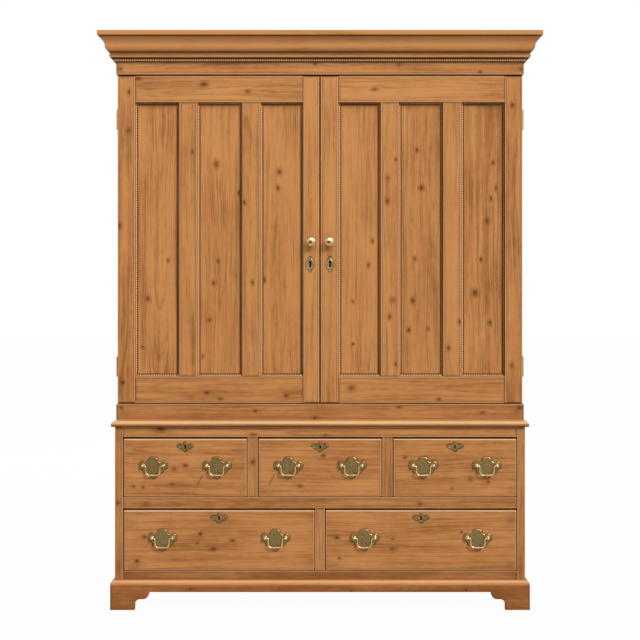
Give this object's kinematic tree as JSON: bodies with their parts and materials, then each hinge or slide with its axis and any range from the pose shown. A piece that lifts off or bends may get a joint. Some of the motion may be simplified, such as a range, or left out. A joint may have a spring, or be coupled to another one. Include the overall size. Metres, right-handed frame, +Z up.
{
  "type": "linen press cabinet",
  "caption": "Two-part pine press: panelled double doors under a deep cornice, over a chest of drawers on bracket feet, with brass swing handles.",
  "frame": {"origin": "on the floor, at the centre of the footprint of the whole press's box", "axes": "+X to the right of someone facing the doors, +Y to the back, +Z up"},
  "size_m": [1.641, 0.5946, 2.137],
  "materials": {
    "pine_case": "waxed honey pine",
    "pine_doors": "waxed honey pine",
    "pine_drawer_fronts": "waxed honey pine",
    "pine_inside": "unfinished old pine",
    "brass_antique": "antique, rubbed bright",
    "brass_plain": "plain satin"
  },
  "bodies": {
    "case": {"cornice_crown": "pine_case", "cornice_bed": "pine_case", "cornice_dust_boards": "pine_inside", "frieze": "pine_case", "cupboard_sides": "pine_case", "cupboard_top_floor": "pine_inside", "cupboard_shelves": "pine_inside", "cupboard_back": "pine_inside", "cupboard_hinges": "brass_plain", "waist_frame": "pine_case", "chest_top": "pine_case", "chest_sides": "pine_case", "chest_face_frame": "pine_case", "chest_runners": "pine_inside", "chest_back": "pine_inside", "plinth": "pine_case", "foot_blocks": "pine_inside"},
    "door_left": {"door_left_stiles": "pine_doors", "door_left_rails": "pine_doors", "door_left_panels": "pine_doors", "door_left_mouldings": "pine_doors", "door_left_brasses": "brass_antique"},
    "door_right": {"door_right_stiles": "pine_doors", "door_right_rails": "pine_doors", "door_right_panels": "pine_doors", "door_right_mouldings": "pine_doors", "door_right_brasses": "brass_antique"},
    "door_right_lock_bolt": {"door_right_lock_bolt": "brass_plain"},
    "door_left_bolt_top": {"door_left_bolt_top": "brass_plain"},
    "door_left_bolt_bottom": {"door_left_bolt_bottom": "brass_plain"},
    "drawer_1": {"drawer_1_front": "pine_drawer_fronts", "drawer_1_box": "pine_inside", "drawer_1_brasses": "brass_antique"},
    "drawer_1_lock_bolt": {"drawer_1_lock_bolt": "brass_plain"},
    "drawer_1_bail_a": {"drawer_1_bail_a": "brass_antique"},
    "drawer_1_bail_b": {"drawer_1_bail_b": "brass_antique"},
    "drawer_2": {"drawer_2_front": "pine_drawer_fronts", "drawer_2_box": "pine_inside", "drawer_2_brasses": "brass_antique"},
    "drawer_2_lock_bolt": {"drawer_2_lock_bolt": "brass_plain"},
    "drawer_2_bail_a": {"drawer_2_bail_a": "brass_antique"},
    "drawer_2_bail_b": {"drawer_2_bail_b": "brass_antique"},
    "drawer_3": {"drawer_3_front": "pine_drawer_fronts", "drawer_3_box": "pine_inside", "drawer_3_brasses": "brass_antique"},
    "drawer_3_lock_bolt": {"drawer_3_lock_bolt": "brass_plain"},
    "drawer_3_bail_a": {"drawer_3_bail_a": "brass_antique"},
    "drawer_3_bail_b": {"drawer_3_bail_b": "brass_antique"},
    "drawer_4": {"drawer_4_front": "pine_drawer_fronts", "drawer_4_box": "pine_inside", "drawer_4_brasses": "brass_antique"},
    "drawer_4_lock_bolt": {"drawer_4_lock_bolt": "brass_plain"},
    "drawer_4_bail_a": {"drawer_4_bail_a": "brass_antique"},
    "drawer_4_bail_b": {"drawer_4_bail_b": "brass_antique"},
    "drawer_5": {"drawer_5_front": "pine_drawer_fronts", "drawer_5_box": "pine_inside", "drawer_5_brasses": "brass_antique"},
    "drawer_5_lock_bolt": {"drawer_5_lock_bolt": "brass_plain"},
    "drawer_5_bail_a": {"drawer_5_bail_a": "brass_antique"},
    "drawer_5_bail_b": {"drawer_5_bail_b": "brass_antique"}
  },
  "joints": [
    {"name": "door_left_hinge", "type": "hinge", "parent": "case", "child": "door_left", "pos_m": [-0.758, -0.20525, 1.36925], "axis": [0, 0, -1], "range_deg": [0, 180]},
    {"name": "door_right_hinge", "type": "hinge", "parent": "case", "child": "door_right", "pos_m": [0.758, -0.20525, 1.36925], "axis": [0, 0, 1], "range_deg": [0, 180]},
    {"name": "door_right_lock_bolt_slide", "type": "slide", "parent": "door_right", "child": "door_right_lock_bolt", "axis": [-1, 0, 0], "range_m": [0, 0.012]},
    {"name": "door_left_bolt_top_slide", "type": "slide", "parent": "door_left", "child": "door_left_bolt_top", "axis": [0, 0, 1], "range_m": [0, 0.012]},
    {"name": "door_left_bolt_bottom_slide", "type": "slide", "parent": "door_left", "child": "door_left_bolt_bottom", "axis": [0, 0, -1], "range_m": [0, 0.012]},
    {"name": "drawer_1_slide", "type": "slide", "parent": "case", "child": "drawer_1", "axis": [0, -1, 0], "range_m": [0, 0.42]},
    {"name": "drawer_1_lock_bolt_slide", "type": "slide", "parent": "drawer_1", "child": "drawer_1_lock_bolt", "axis": [0, 0, 1], "range_m": [0, 0.012]},
    {"name": "drawer_1_bail_a_swing", "type": "hinge", "parent": "drawer_1", "child": "drawer_1_bail_a", "pos_m": [-0.61667, -0.27575, 0.531], "axis": [-1, 0, 0], "range_deg": [0, 160]},
    {"name": "drawer_1_bail_b_swing", "type": "hinge", "parent": "drawer_1", "child": "drawer_1_bail_b", "pos_m": [-0.38167, -0.27575, 0.531], "axis": [-1, 0, 0], "range_deg": [0, 160]},
    {"name": "drawer_2_slide", "type": "slide", "parent": "case", "child": "drawer_2", "axis": [0, -1, 0], "range_m": [0, 0.42]},
    {"name": "drawer_2_lock_bolt_slide", "type": "slide", "parent": "drawer_2", "child": "drawer_2_lock_bolt", "axis": [0, 0, 1], "range_m": [0, 0.012]},
    {"name": "drawer_2_bail_a_swing", "type": "hinge", "parent": "drawer_2", "child": "drawer_2_bail_a", "pos_m": [-0.1175, -0.27575, 0.531], "axis": [-1, 0, 0], "range_deg": [0, 160]},
    {"name": "drawer_2_bail_b_swing", "type": "hinge", "parent": "drawer_2", "child": "drawer_2_bail_b", "pos_m": [0.1175, -0.27575, 0.531], "axis": [-1, 0, 0], "range_deg": [0, 160]},
    {"name": "drawer_3_slide", "type": "slide", "parent": "case", "child": "drawer_3", "axis": [0, -1, 0], "range_m": [0, 0.42]},
    {"name": "drawer_3_lock_bolt_slide", "type": "slide", "parent": "drawer_3", "child": "drawer_3_lock_bolt", "axis": [0, 0, 1], "range_m": [0, 0.012]},
    {"name": "drawer_3_bail_a_swing", "type": "hinge", "parent": "drawer_3", "child": "drawer_3_bail_a", "pos_m": [0.38167, -0.27575, 0.531], "axis": [-1, 0, 0], "range_deg": [0, 160]},
    {"name": "drawer_3_bail_b_swing", "type": "hinge", "parent": "drawer_3", "child": "drawer_3_bail_b", "pos_m": [0.61667, -0.27575, 0.531], "axis": [-1, 0, 0], "range_deg": [0, 160]},
    {"name": "drawer_4_slide", "type": "slide", "parent": "case", "child": "drawer_4", "axis": [0, -1, 0], "range_m": [0, 0.42]},
    {"name": "drawer_4_lock_bolt_slide", "type": "slide", "parent": "drawer_4", "child": "drawer_4_lock_bolt", "axis": [0, 0, 1], "range_m": [0, 0.012]},
    {"name": "drawer_4_bail_a_swing", "type": "hinge", "parent": "drawer_4", "child": "drawer_4_bail_a", "pos_m": [-0.58275, -0.27575, 0.264], "axis": [-1, 0, 0], "range_deg": [0, 160]},
    {"name": "drawer_4_bail_b_swing", "type": "hinge", "parent": "drawer_4", "child": "drawer_4_bail_b", "pos_m": [-0.16475, -0.27575, 0.264], "axis": [-1, 0, 0], "range_deg": [0, 160]},
    {"name": "drawer_5_slide", "type": "slide", "parent": "case", "child": "drawer_5", "axis": [0, -1, 0], "range_m": [0, 0.42]},
    {"name": "drawer_5_lock_bolt_slide", "type": "slide", "parent": "drawer_5", "child": "drawer_5_lock_bolt", "axis": [0, 0, 1], "range_m": [0, 0.012]},
    {"name": "drawer_5_bail_a_swing", "type": "hinge", "parent": "drawer_5", "child": "drawer_5_bail_a", "pos_m": [0.16475, -0.27575, 0.264], "axis": [-1, 0, 0], "range_deg": [0, 160]},
    {"name": "drawer_5_bail_b_swing", "type": "hinge", "parent": "drawer_5", "child": "drawer_5_bail_b", "pos_m": [0.58275, -0.27575, 0.264], "axis": [-1, 0, 0], "range_deg": [0, 160]}
  ]
}
